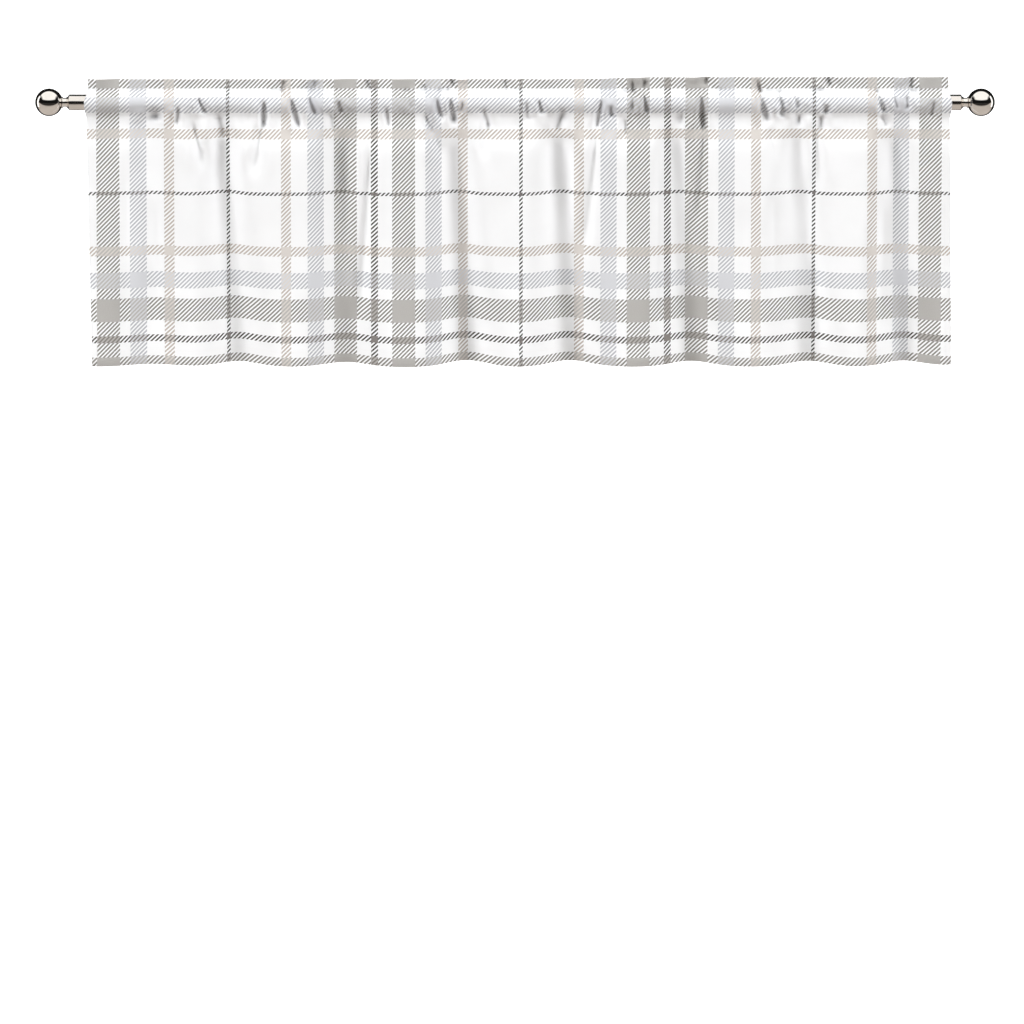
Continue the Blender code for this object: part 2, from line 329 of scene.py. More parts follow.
class ClothSettings(PropertyGroup):
    """Sizes and colours of the valance."""

    thickness: FloatProperty(name="Thickness", description="Thickness of the cloth", default=0.0006,
                             unit="LENGTH", subtype="DISTANCE")
    frill: FloatProperty(name="Header wave", description="How far the header waves to and fro",
                         default=0.0036, unit="LENGTH", subtype="DISTANCE")
    slack_front: FloatProperty(name="Pocket slack, front", description="How far the pocket puffs in front",
                               default=0.0095, unit="LENGTH", subtype="DISTANCE")
    slack_back: FloatProperty(name="Pocket slack, back", description="How far the pocket puffs behind",
                              default=0.0034, unit="LENGTH", subtype="DISTANCE")
    pucker: FloatProperty(name="Pucker height", description="Height of the puckers along the stitches",
                          default=0.0005, unit="LENGTH", subtype="DISTANCE")
    crease_strength: FloatProperty(name="Crease strength", description="Multiplies every crease's depth",
                                   default=5.0, subtype="FACTOR")
    hem_turn: FloatProperty(name="Hem turn-up", description="Height of the hem turned up behind",
                            default=0.025, unit="LENGTH", subtype="DISTANCE")
    twill_pitch: FloatProperty(name="Twill pitch", description="Distance between the print's twill lines",
                               default=0.0068, unit="LENGTH", subtype="DISTANCE")
    twill_share: FloatProperty(name="Twill share", description="Share of the pitch that is inked",
                               default=0.50, subtype="FACTOR")
    twill_shift: FloatProperty(name="Twill shift", description="Where the twill lines start, in pitches",
                               default=0.0, subtype="FACTOR")
    white: FloatVectorProperty(name="White", description="The bare cloth's colour", size=3,
                               default=(0.918, 0.922, 0.930), subtype="COLOR_GAMMA")
    medium_dark: FloatVectorProperty(name="Medium dark ink", description="Ink of the medium dark lines",
                                     size=3, default=(0.50, 0.475, 0.455), subtype="COLOR_GAMMA")
    taupe: FloatVectorProperty(name="Taupe ink", description="Ink of the broad bands", size=3,
                               default=(0.715, 0.703, 0.685), subtype="COLOR_GAMMA")
    light_grey: FloatVectorProperty(name="Light grey ink", description="Ink of the cool grey bands", size=3,
                                    default=(0.852, 0.855, 0.868), subtype="COLOR_GAMMA")
    beige: FloatVectorProperty(name="Beige ink", description="Ink of the beige bands", size=3,
                               default=(0.865, 0.838, 0.812), subtype="COLOR_GAMMA")
    thin_dark: FloatVectorProperty(name="Thin dark ink", description="Ink of the thin dark lines", size=3,
                                   default=(0.43, 0.41, 0.395), subtype="COLOR_GAMMA")
    line_depth: FloatProperty(name="Line depth", description="How much deeper the inks are in single lines",
                              default=1.95, subtype="FACTOR")
    thread_pitch: FloatProperty(name="Weave pitch", description="Distance between threads of the weave",
                                default=0.0009, unit="LENGTH", subtype="DISTANCE")


class StitchSettings(PropertyGroup):
    """Sizes and colour of the sewing."""

    pitch: FloatProperty(name="Pitch", description="Distance from one stitch to the next", default=0.0032,
                         unit="LENGTH", subtype="DISTANCE")
    length: FloatProperty(name="Length", description="Length of thread that shows in a stitch",
                          default=0.0027, unit="LENGTH", subtype="DISTANCE")
    thread: FloatProperty(name="Thread", description="Thickness of the thread", default=0.0004,
                          unit="LENGTH", subtype="DISTANCE")
    unevenness: FloatProperty(name="Unevenness", description="How much the stitches differ in length",
                              default=0.12, subtype="FACTOR")
    seed: IntProperty(name="Seed", description="Chooses another set of uneven stitches", default=7)
    colour: FloatVectorProperty(name="Thread colour", description="Colour of the sewing thread", size=3,
                                default=(0.925, 0.922, 0.915), subtype="COLOR_GAMMA")


class MetalSettings(PropertyGroup):
    """Colours and finish of the rod and finials."""

    sides: IntProperty(name="Sides", description="Sides of every turned piece", default=96)
    rod_colour: FloatVectorProperty(name="Rod colour", description="Colour of the brushed rod", size=3,
                                    default=(0.86, 0.82, 0.78), subtype="COLOR")
    finial_colour: FloatVectorProperty(name="Finial colour", description="Colour of the polished finials",
                                       size=3, default=(0.90, 0.865, 0.825), subtype="COLOR")
    rod_roughness: FloatProperty(name="Rod roughness", description="Roughness of the brushed rod",
                                 default=0.12, subtype="FACTOR")
    finial_roughness: FloatProperty(name="Finial roughness", description="Roughness of the finials",
                                    default=0.03, subtype="FACTOR")


class StageSettings(PropertyGroup):
    """Floor, light and camera."""

    floor_drop: FloatProperty(name="Floor below rod", description="How far the floor lies below the rod",
                              default=1.9, unit="LENGTH", subtype="DISTANCE")
    floor_reach: FloatProperty(name="Floor reach", description="Half the width of the floor", default=60.0,
                               unit="LENGTH", subtype="DISTANCE")
    floor_white: FloatVectorProperty(name="Floor behind", description="Floor's colour behind the valance",
                                     size=3, default=(0.92, 0.92, 0.92), subtype="COLOR")
    floor_pale: FloatVectorProperty(name="Floor below", description="Floor's colour below the valance",
                                    size=3, default=(0.53, 0.485, 0.45), subtype="COLOR")
    floor_dark: FloatVectorProperty(name="Floor in front", description="Floor's colour towards the camera",
                                    size=3, default=(0.02, 0.018, 0.016), subtype="COLOR")
    distance: FloatProperty(name="Camera distance", description="From the camera to the picture's middle",
                            default=20.0, unit="LENGTH", subtype="DISTANCE")
    elevation: FloatProperty(name="Camera elevation", description="How far the camera looks down",
                             default=math.radians(9.0), unit="ROTATION", subtype="ANGLE")
    key_strength: FloatProperty(name="Key lights", description="Strength of each light from the front",
                                default=2.50)
    key_softness: FloatProperty(name="Key softness", description="How wide each light from the front is",
                                default=math.radians(28.0), unit="ROTATION", subtype="ANGLE")
    strip_power: FloatProperty(name="Strip lights", description="Power of each narrow light, in watts",
                               default=9.0)
    sky: FloatProperty(name="Sky", description="Brightness of the large light overhead", default=1.12)
    floor_glow: FloatProperty(name="Floor glow", description="Light that the floor behind gives off",
                              default=0.7)


class Wire:
    """A socket of a node tree. Arithmetic on it adds the Math node that works it out."""

    def __init__(self, tree, socket):
        self.tree = tree
        self.socket = socket

    def maths(self, operation, *values):
        return self.tree.node("ShaderNodeMath", {"operation": operation}, dict(enumerate(values)))

    def __add__(self, other):
        return self.maths("ADD", self, other)

    def __sub__(self, other):
        return self.maths("SUBTRACT", self, other)

    def __rsub__(self, other):
        return self.maths("SUBTRACT", other, self)

    def __mul__(self, other):
        return self.maths("MULTIPLY", self, other)

    def __truediv__(self, other):
        return self.maths("DIVIDE", self, other)

    def __lt__(self, other):
        return self.maths("LESS_THAN", self, other)

    def __gt__(self, other):
        return self.maths("GREATER_THAN", self, other)

    def __abs__(self):
        return self.maths("ABSOLUTE", self)

    def fraction(self):
        return self.maths("FRACT", self)

    def sine(self):
        return self.maths("SINE", self)

    __radd__ = __add__
    __rmul__ = __mul__


class Nodes:
    """A node tree as it is written. node() adds any node and gives back one of its outputs."""

    def __init__(self, tree):
        self.tree = tree

    def node(self, kind, settings=None, inputs=None, output=0):
        made = self.tree.nodes.new(kind)
        for name, value in (settings or {}).items():
            if name == "stops":
                self.set_stops(made.color_ramp, value)
            else:
                setattr(made, name, value)
        for name, value in (inputs or {}).items():
            self.feed(made.inputs[name], value)
        return Wire(self, made.outputs[output]) if made.outputs else None

    def feed(self, socket, value):
        if isinstance(value, Wire):
            self.tree.links.new(value.socket, socket)
        else:
            socket.default_value = value

    def set_stops(self, ramp, stops):
        interpolation, places = stops
        ramp.interpolation = interpolation
        while len(ramp.elements) > 1:
            ramp.elements.remove(ramp.elements[-1])
        for number, (place, colour) in enumerate(places):
            stop = ramp.elements[0] if number == 0 else ramp.elements.new(place)
            stop.position = place
            stop.color = colour

    def parts(self, vector):
        """A vector's three parts."""
        split = self.node("ShaderNodeSeparateXYZ", None, {"Vector": vector})
        return [Wire(self, output) for output in split.socket.node.outputs]

    def mix(self, share, first, second):
        """The first colour where share is 0 and the second where it is 1."""
        return self.node("ShaderNodeMix", {"data_type": "RGBA"}, {0: share, 6: first, 7: second}, 2)

    def multiplied(self, first, second):
        """Two colours multiplied."""
        return self.node("ShaderNodeMix", {"data_type": "RGBA", "blend_type": "MULTIPLY"},
                         {0: 1.0, 6: first, 7: second}, 2)

    def noise(self, place, scale, detail=2.0, roughness=0.5):
        return self.node("ShaderNodeTexNoise", None, {"Vector": place, "Scale": scale, "Detail": detail,
                                                      "Roughness": roughness})

    def stretched(self, place, scale):
        return self.node("ShaderNodeMapping", None, {"Vector": place, "Scale": scale})

    def ranged(self, value, low, high, start=0.0, end=1.0):
        """value moved from the range start..end to low..high."""
        return self.node("ShaderNodeMapRange", None, {"Value": value, "From Min": start, "From Max": end,
                                                      "To Min": low, "To Max": high})


def new_material(name):
    material = bpy.data.materials.new(name)
    material.use_nodes = True
    return material, Nodes(material.node_tree), material.node_tree.nodes["Principled BSDF"]


def linear(colour):
    """A display colour, 0 to 1, as the linear colour that nodes take, with its alpha."""
    values = [part / 12.92 if part <= 0.04045 else ((part + 0.055) / 1.055) ** 2.4 for part in colour]
    return (*values, 1.0)


def band_stops(settings):
    """The stops of a ramp that gives the ink's tint of white cloth at a distance from a medium dark line,
    with alpha 1 on a band and 0 on bare cloth."""
    stops = []
    for band in BANDS:
        start = max(band.middle - band.half_width, 0.0) / HALF_REPEAT
        end = (band.middle + band.half_width) / HALF_REPEAT
        stops.append((start, linear(getattr(settings, band.ink))))
        if end < 1.0:
            stops.append((end, (1.0, 1.0, 1.0, 0.0)))
    return "CONSTANT", stops


def printed_colour(nodes, settings):
    """The plaid: bands down and across in twill lines, the one set between the lines of the other."""
    uv = nodes.node("ShaderNodeUVMap", {"uv_map": "cloth"})
    across, upwards, _ = nodes.parts(uv)
    inks = []
    for place in (across, upwards):
        turn = (place / (2 * HALF_REPEAT) + 0.5).fraction() - 0.5
        distance = 1 - abs(turn) * 2
        ramp = nodes.node("ShaderNodeValToRGB", {"stops": band_stops(settings)}, {"Fac": distance})
        inks.append((ramp, Wire(nodes, ramp.socket.node.outputs["Alpha"])))
    twill = ((across - upwards) / settings.twill_pitch + settings.twill_shift).fraction()
    fibre = nodes.noise(nodes.stretched(uv, (900.0, 900.0, 1.0)), 1.0, 1.0)
    strength = nodes.ranged(fibre, 0.90, 1.0, 0.3, 0.7)
    down_cover = inks[0][1] * (twill < settings.twill_share) * strength
    level_cover = inks[1][1] * (twill > 1 - settings.twill_share) * strength
    crossing = inks[0][1] * inks[1][1]
    depth = settings.line_depth - (settings.line_depth - 1) * crossing
    tint = nodes.mix(level_cover, (1.0,) * 4, nodes.node(
        "ShaderNodeGamma", None, {"Color": inks[1][0], "Gamma": depth}))
    tint = nodes.mix(down_cover, tint, nodes.node(
        "ShaderNodeGamma", None, {"Color": inks[0][0], "Gamma": depth}))
    cloudy = nodes.noise(nodes.stretched(uv, (14.0, 14.0, 1.0)), 1.0, 3.0)
    white = linear(settings.white)
    dull = tuple(part * 0.97 for part in white[:3]) + (1.0,)
    cloth = nodes.mix(nodes.ranged(cloudy, 0.0, 1.0, 0.35, 0.65), dull, white)
    return nodes.multiplied(cloth, tint), uv


def weave_bump(nodes, settings, uv, strength):
    """The fine plain weave, with threads that vary a little in thickness."""
    across, upwards, _ = nodes.parts(uv)
    turn = 2 * math.pi / settings.thread_pitch
    threads = (across * turn).sine() * (upwards * turn).sine()
    slub = nodes.noise(nodes.stretched(uv, (60.0, 900.0, 1.0)), 1.0, 2.0)
    height = threads * 0.5 + slub
    return nodes.node("ShaderNodeBump", None, {"Strength": strength, "Distance": 0.00012, "Height": height})


def printed_cloth(settings):
    """The printed side of the polyester."""
    material, nodes, shader = new_material("printed cloth")
    colour, uv = printed_colour(nodes, settings)
    nodes.feed(shader.inputs["Base Color"], colour)
    patches = nodes.noise(nodes.stretched(uv, (35.0, 35.0, 1.0)), 1.0, 2.0)
    nodes.feed(shader.inputs["Roughness"], nodes.ranged(patches, 0.66, 0.80, 0.3, 0.7))
    nodes.feed(shader.inputs["Normal"], weave_bump(nodes, settings, uv, 0.25))
    shader.inputs["Specular IOR Level"].default_value = 0.25
    shader.inputs["Sheen Weight"].default_value = 0.08
    shader.inputs["Sheen Roughness"].default_value = 0.5
    return material


def cloth_reverse(settings):
    """The unprinted side, where the print shows through faintly."""
    material, nodes, shader = new_material("cloth reverse")
    colour, uv = printed_colour(nodes, settings)
    nodes.feed(shader.inputs["Base Color"], nodes.mix(0.28, linear(settings.white), colour))
    patches = nodes.noise(nodes.stretched(uv, (35.0, 35.0, 1.0)), 1.0, 2.0)
    nodes.feed(shader.inputs["Roughness"], nodes.ranged(patches, 0.72, 0.86, 0.3, 0.7))
    nodes.feed(shader.inputs["Normal"], weave_bump(nodes, settings, uv, 0.35))
    shader.inputs["Specular IOR Level"].default_value = 0.2
    shader.inputs["Sheen Weight"].default_value = 0.12
    return material


def sewing_thread(settings):
    """White polyester thread, twisted."""
    material, nodes, shader = new_material("sewing thread")
    place = nodes.node("ShaderNodeTexCoord", None, None, "Object")
    twist = nodes.noise(nodes.stretched(place, (2500.0, 900.0, 900.0)), 1.0, 2.0)
    white = linear(settings.colour)
    dull = tuple(part * 0.9 for part in white[:3]) + (1.0,)
    nodes.feed(shader.inputs["Base Color"],
               nodes.mix(nodes.ranged(twist, 0.0, 1.0, 0.35, 0.65), dull, white))
    nodes.feed(shader.inputs["Roughness"], nodes.ranged(twist, 0.45, 0.6, 0.3, 0.7))
    nodes.feed(shader.inputs["Normal"], nodes.node(
        "ShaderNodeBump", None, {"Strength": 0.3, "Distance": 0.00005, "Height": twist}))
    return material


def polished_nickel(settings):
    """Mirror nickel with faint turning lines and the light smears of handling."""
    material, nodes, shader = new_material("polished nickel")
    place = nodes.node("ShaderNodeTexCoord", None, None, "Object")
    smears = nodes.noise(nodes.stretched(place, (70.0, 70.0, 70.0)), 1.0, 4.0, 0.6)
    turning = nodes.noise(nodes.stretched(place, (5200.0, 40.0, 40.0)), 1.0, 1.0)
    colour = (*settings.finial_colour, 1.0)
    worn = tuple(part * 0.93 for part in settings.finial_colour) + (1.0,)
    nodes.feed(shader.inputs["Base Color"],
               nodes.mix(nodes.ranged(smears, 0.0, 1.0, 0.35, 0.7), colour, worn))
    rough = settings.finial_roughness
    nodes.feed(shader.inputs["Roughness"], nodes.ranged(smears, rough * 0.7, rough * 1.6, 0.35, 0.7))
    nodes.feed(shader.inputs["Normal"], nodes.node(
        "ShaderNodeBump", None, {"Strength": 0.04, "Distance": 0.00005, "Height": turning}))
    shader.inputs["Metallic"].default_value = 1.0
    return material


def brushed_nickel(settings):
    """Satin nickel, brushed along the rod."""
    material, nodes, shader = new_material("brushed nickel")
    place = nodes.node("ShaderNodeTexCoord", None, None, "Object")
    brushing = nodes.noise(nodes.stretched(place, (30.0, 2600.0, 2600.0)), 1.0, 3.0)
    smears = nodes.noise(nodes.stretched(place, (22.0, 60.0, 60.0)), 1.0, 3.0)
    colour = (*settings.rod_colour, 1.0)
    worn = tuple(part * 0.88 for part in settings.rod_colour) + (1.0,)
    nodes.feed(shader.inputs["Base Color"],
               nodes.mix(nodes.ranged(brushing, 0.0, 1.0, 0.3, 0.7), worn, colour))
    rough = settings.rod_roughness
    nodes.feed(shader.inputs["Roughness"],
               nodes.ranged(smears * 0.6 + brushing * 0.4, rough * 0.75, rough * 1.35, 0.35, 0.65))
    nodes.feed(shader.inputs["Normal"], nodes.node(
        "ShaderNodeBump", None, {"Strength": 0.12, "Distance": 0.00003, "Height": brushing}))
    shader.inputs["Metallic"].default_value = 1.0
    return material


def smooth(value):
    value = np.clip(value, 0.0, 1.0)
    return value * value * (3 - 2 * value)


def side_edge(height, side):
    """The x of the cloth's left or right edge at each height, as a soft line through the table's rows."""
    heights = np.array([edge.height for edge in reversed(SIDE_EDGES)])
    places = np.array([getattr(edge, side) for edge in reversed(SIDE_EDGES)])
    height = np.clip(height, heights[0], heights[-1])
    row = np.clip(np.searchsorted(heights, height, side="right") - 1, 0, len(heights) - 2)
    share = (height - heights[row]) / (heights[row + 1] - heights[row])
    return places[row] + (places[row + 1] - places[row]) * smooth(share)


def across(height):
    """The x of every column at each height. height has a row for each row of the cloth."""
    share = np.linspace(0.0, 1.0, FINE_COLUMNS + 1)
    left = side_edge(height, "left")
    right = side_edge(height, "right")
    return left + (right - left) * share


def wave(x, waves, shift=0.0):
    """A sum of waves along the rod, from about -1 to 1."""
    return sum(part.share * np.sin(2 * math.pi * x / part.wavelength + part.phase + shift)
               for part in waves)


def gathered(x, shift=0.0):
    return 0.5 + 0.5 * wave(x, GATHERS, shift)


def header_top(x):
    """The height of the header's top edge, which steps up a little towards the right."""
    step = 0.5 + 0.5 * np.tanh((x - HEADER_STEP_AT) / HEADER_STEP_WIDTH)
    return HEADER_TOP_LEFT + (HEADER_TOP_RIGHT - HEADER_TOP_LEFT) * step


def drop_share(height):
    """How far a height lies down the drop: 0 at the pocket and above it, 1 at the hem."""
    return np.clip((POCKET_BOTTOM - height) / (POCKET_BOTTOM - HEM), 0.0, 1.0)


def folds_at(x, height):
    """How high the main folds stand at each point, 0 in a valley and 1 on a crest, and how far in front
    of the rod's axis they bring the cloth."""
    share = drop_share(height)
    columns = {name: np.array([getattr(fold, name) for fold in FOLDS]) for name in Fold._fields}
    valleys = columns["top"] + (columns["hem"] - columns["top"]) * share
    left = side_edge(height, "left")
    right = side_edge(height, "right")
    valleys[:, :1] = (left - LEFT_EDGE_PLACE * valleys[:, 1:2]) / (1 - LEFT_EDGE_PLACE)
    valleys[:, -1:] = valleys[:, -2:-1] + (right - valleys[:, -2:-1]) / RIGHT_EDGE_PLACE
    number = (x[:, :, None] >= valleys[:, None, 1:-1]).sum(axis=2)
    row = np.arange(len(x))[:, None]
    start = valleys[row, number]
    end = valleys[row, number + 1]
    place = np.clip((x - start) / (end - start), 0.0, 1.0)

    evened = place ** (math.log(0.5) / np.log(columns["peak"][number]))
    rounded = np.sqrt(np.sin(math.pi * evened) ** 2 + VALLEY_ROUNDING ** 2) - VALLEY_ROUNDING
    gentle = rounded / (math.sqrt(1 + VALLEY_ROUNDING ** 2) - VALLEY_ROUNDING)
    groove = GROOVE_TOP + (GROOVE_HEM - GROOVE_TOP) * share ** 0.8
    nearest = np.hypot(np.minimum(x - start, end - x), GROOVE_SOFTNESS) - GROOVE_SOFTNESS
    groove_rise = 1 - np.exp(-(nearest / groove) ** GROOVE_SHARPNESS)
    rise = (1 - GROOVE_SHARE) * gentle + GROOVE_SHARE * groove_rise

    def between(name):
        values = columns[name]
        return values[number] + (values[number + 1] - values[number]) * place

    growth = between("start") + (1 - between("start")) * share
    depth = growth * (columns["crest"][number] * rise - between("back") * (1 - rise))
    return rise, depth


def stitched_line(x, rise):
    """How far the pocket's lower stitch lies behind the rod's axis: in front of it where the pocket is
    loose, and waved with the folds."""
    return -STITCH_FORWARD * looseness(x) - STITCH_WAVE * (2 * rise - 1)


def drop_surface(height):
    """The middle of the cloth's hanging layer at each height, and its print heights."""
    x = across(height)
    rise, depth = folds_at(x, height)
    below = POCKET_BOTTOM - POCKET_EDGE_STEP
    share = np.clip((below - height) / (below - HEM), 0.0, 1.0)
    stitched = stitched_line(x, rise)
    y = stitched * (1 - smooth(share / STITCH_BLEND)) - depth * smooth(share / FOLD_START) - LAYER_STEP / 2
    z = height + HEM_LEAN * y * share
    return np.stack([x, y, z], axis=2), np.broadcast_to(height, x.shape)


def taut_radius(angle):
    """The distance from the rod's axis of cloth pulled straight from the header stitch, round the rod, to
    the pocket's lower stitch. angle is measured from straight up."""
    top = math.acos(POCKET_TAUT_RADIUS / HEADER_STITCH)
    bottom = math.pi - math.acos(POCKET_TAUT_RADIUS / -POCKET_BOTTOM)
    radius = np.full_like(angle, POCKET_TAUT_RADIUS)
    radius = np.where(angle < top, POCKET_TAUT_RADIUS / np.cos(top - angle), radius)
    return np.where(angle > bottom, POCKET_TAUT_RADIUS / np.cos(angle - bottom), radius)


def looseness(x):
    """1 where the pocket is free to puff out, and less where it lies tight on the rod."""
    loose = np.ones_like(x)
    for tight in TIGHT_PLACES:
        loose *= 1 - (1 - tight.left) * np.exp(-((x - tight.middle) / tight.reach) ** 4)
    return loose


def pocket_surface(angle, side, slack):
    """The middle of the pocket's front (side -1) or back (side 1) layer, at angles from straight up."""
    radius = taut_radius(angle)
    height = radius * np.cos(angle)
    x = across(height)
    rise, _ = folds_at(x, height)
    stitched = stitched_line(x, rise)
    if side < 0:
        puff = PUFF_ANYWHERE + PUFF_GATHERED * gathered(x) + PUFF_ON_CREST * rise
        loose = slack * puff * (0.5 + 0.5 * looseness(x))
        radius = radius + loose * np.sin(angle) ** PUFF_ROUNDNESS
        widest = -(POCKET_TAUT_RADIUS + loose)
        lower = np.clip(2 * angle / math.pi - 1, 0.0, 1.0)
        under = angle > math.pi / 2
        y = np.where(under, widest + (stitched - widest) * smooth(lower), -radius * np.sin(angle))
        z = np.where(under, POCKET_BOTTOM * lower, radius * np.cos(angle))
    else:
        radius = radius + slack * gathered(x, BACK_GATHERING) * np.sin(angle) ** PUFF_ROUNDNESS
        drawn = smooth((angle - BACK_DRAWN_FROM) / (math.pi - BACK_DRAWN_FROM))
        y = radius * np.sin(angle) + stitched * drawn
        z = radius * np.cos(angle)
    y = y + side * LAYER_STEP / 2
    return np.stack([x, y, z], axis=2), z if side < 0 else np.broadcast_to(height, x.shape)


def header_surface(share, side, frill):
    """The middle of the header's front or back layer, share 0 at its stitch and 1 where it folds over."""
    x = across(HEADER_STITCH + 0.02 * share)
    top = header_top(x) - LAYER_STEP / 2
    z = HEADER_STITCH + (top - HEADER_STITCH) * share
    y = -frill * wave(x, GATHERS, 1.3) * share + side * LAYER_STEP / 2
    return np.stack([x, y, z], axis=2), z


def crease_relief(x, z, creases, strength):
    """How far the creases move the cloth outwards at each point, seen from the front."""
    relief = np.zeros_like(x)
    for crease in creases:
        start = np.array([crease.top_x, crease.top_z]) * MM
        run = np.array([crease.end_x, crease.end_z]) * MM - start
        length = np.linalg.norm(run)
        run = run / length
        along = ((x - start[0]) * run[0] + (z - start[1]) * run[1]) / length
        aside = (x - start[0]) * run[1] - (z - start[1]) * run[0]
        width = crease.width * MM * CREASE_BREADTH
        near = (along > 0) & (along < 1) & (np.abs(aside) < 12 * width)
        t = along[near]
        reach = aside[near] / (width * (1 + CREASE_WIDENING * t))
        ends = smooth(t / CREASE_FADE) * smooth((1 - t) / CREASE_FADE)
        trough = np.exp(-np.abs(reach) ** TROUGH_SHARPNESS)
        ridges = (np.exp(-((reach - RIDGE_PLACE) / RIDGE_WIDTH) ** 2)
                  + np.exp(-((reach + RIDGE_PLACE) / RIDGE_WIDTH) ** 2))
        relief[near] += crease.depth * MM * strength * ends * (RIDGE_SHARE * ridges - trough)
    return relief


def pucker_relief(x, z, height):
    """The small puckers beside the two rows of stitches."""
    upper = np.exp(-((z - HEADER_STITCH) / PUCKER_REACH) ** 2) * wave(x, PUCKERS)
    lower = np.exp(-((z - POCKET_BOTTOM) / (1.6 * PUCKER_REACH)) ** 2) * wave(x, PUCKERS, 2.0)
    return height * (upper + lower)


def all_relief(settings, x, z):
    """Creases and puckers together, at places seen from the front."""
    strength = settings.crease_strength
    creases = crease_relief(x, z, HEADING_CREASES, strength)
    creases += crease_relief(x, z, DROP_CREASES, strength * DROP_CREASE_SHARE)
    return creases + pucker_relief(x, z, settings.pucker)


def surface_normals(points):
    """The outward direction at each point of a grid whose rows run from the hem to the top in front."""
    along = np.gradient(points, axis=1)
    onwards = np.gradient(points, axis=0)
    normal = np.cross(along, onwards)
    return normal / np.maximum(np.linalg.norm(normal, axis=2, keepdims=True), 1e-12)


Strip = namedtuple("Strip", "points uv fine header_stitch pocket_stitch hem_line drop_rows")


def cloth_strip(settings):
    """The whole cloth as one grid of rows: from the raw edge of the hem's turn-up, down to the hem, up the
    front, over the header's top, and down the back to the turned edge under the pocket."""
    step = LAYER_STEP
    hem_height = HEM + step / 2
    turned = np.linspace(HEM + settings.hem_turn, hem_height, TURN_UP_ROWS)[:, None]
    drop = np.linspace(hem_height, UPPER_DROP_END, DROP_ROWS)[:, None]
    upper = np.linspace(UPPER_DROP_END, POCKET_BOTTOM, UPPER_DROP_ROWS + 1)[1:, None]
    front_drop, front_print = drop_surface(np.concatenate([drop, upper]))

    behind, behind_height = drop_surface(turned)
    edge_distance = np.minimum(behind[:, :, 0] - behind[:, :1, 0], behind[:, -1:, 0] - behind[:, :, 0])
    stack = step * (1 + smooth(1 - edge_distance / (SIDE_HEM * 1.3)))
    turn = np.linspace(0.0, math.pi, FOLD_ROWS + 2)[1:-1, None]
    hem_width = stack[-1:]
    hem_fold = np.repeat(front_drop[:1], FOLD_ROWS, axis=0)
    hem_fold[:, :, 1] += hem_width * (0.5 + 0.5 * np.cos(turn))
    hem_fold[:, :, 2] -= step / 2 * np.sin(turn)
    behind[:, :, 1] += stack - all_relief(settings, behind[:, :, 0], behind_height)
    behind_print = 2 * HEM - behind_height
    fold_print = np.broadcast_to(HEM - step / 2 * np.cos(turn), hem_fold.shape[:2])

    angles = np.linspace(math.pi, 0.0, POCKET_FRONT_ROWS + 1)[1:, None]
    front_pocket, pocket_print = pocket_surface(angles, -1, settings.slack_front)
    shares = np.linspace(0.0, 1.0, HEADER_FRONT_ROWS + 1)[1:, None]
    front_header, header_print = header_surface(shares, -1, settings.frill)

    front = np.concatenate([front_drop, front_pocket, front_header])
    prints = np.concatenate([front_print, pocket_print, header_print])
    relief = all_relief(settings, front[:, :, 0], prints)
    moved = front.copy()
    moved[:, :, 1] -= relief
    pocket_start = len(front_drop)
    pocket_end = pocket_start + POCKET_FRONT_ROWS
    keep_off_rod(moved[pocket_start:pocket_end])

    top_turn = np.linspace(0.0, math.pi, FOLD_ROWS + 2)[1:-1, None]
    top_fold = np.repeat(moved[-1:], FOLD_ROWS, axis=0)
    top_fold[:, :, 1] += step / 2 * (1 - np.cos(top_turn))
    top_fold[:, :, 2] += step / 2 * np.sin(top_turn)
    top_print = header_print[-1:] + step / 2 * top_turn

    shares = np.linspace(1.0, 0.0, HEADER_BACK_ROWS)[:, None]
    back_header, back_height = header_surface(shares, 1, settings.frill)
    back_header[:, :, 1] -= all_relief(settings, back_header[:, :, 0], back_height)
    angles = np.linspace(0.0, math.pi, POCKET_BACK_ROWS + 1)[1:, None]
    back_pocket, back_pocket_height = pocket_surface(angles, 1, settings.slack_back)
    held = 1 - smooth(angles / BACK_RELIEF_FADE) * smooth((math.pi - angles) / BACK_RELIEF_FADE)
    back_pocket[:, :, 1] -= held * all_relief(settings, back_pocket[:, :, 0], back_pocket_height)
    keep_off_rod(back_pocket)
    ledge = np.linspace(POCKET_BOTTOM, POCKET_BOTTOM - POCKET_EDGE_BELOW, EDGE_ROWS + 1)[1:, None]
    edge, edge_height = drop_surface(ledge)
    edge[:, :, 1] += step - all_relief(settings, edge[:, :, 0], edge_height)
    fold_line = 2 * header_print[-1:] + step * math.pi / 2
    back_prints = [fold_line - part for part in (back_height, back_pocket_height, edge_height)]

    points = np.concatenate([behind, hem_fold, moved, top_fold, back_header, back_pocket, edge])
    heights = np.concatenate([behind_print, fold_print, prints, top_print, *back_prints])
    drift = np.interp(points[:, :, 0],
                      [place.x for place in PRINT_DRIFT], [place.shift for place in PRINT_DRIFT])
    rise = np.interp(heights, [place.height for place in PRINT_RISE], [place.shift for place in PRINT_RISE])
    uv = np.stack([points[:, :, 0] - drift - PRINT_MIDDLE_X, heights - rise - PRINT_MIDDLE_Z], axis=2)
    first = TURN_UP_ROWS + FOLD_ROWS
    fine_start = first + DROP_ROWS - 1
    fine_end = first + len(moved) + FOLD_ROWS + HEADER_BACK_ROWS
    fine = np.zeros(len(points), bool)
    fine[fine_start:fine_end] = True
    header_stitch = first + pocket_end - 1
    pocket_stitch = first + pocket_start - 1
    hem_line = first + int(np.argmin(np.abs(drop[:, 0] - (HEM + settings.hem_turn - 0.003))))
    return Strip(points, uv, fine, header_stitch, pocket_stitch, hem_line, (first, pocket_stitch))


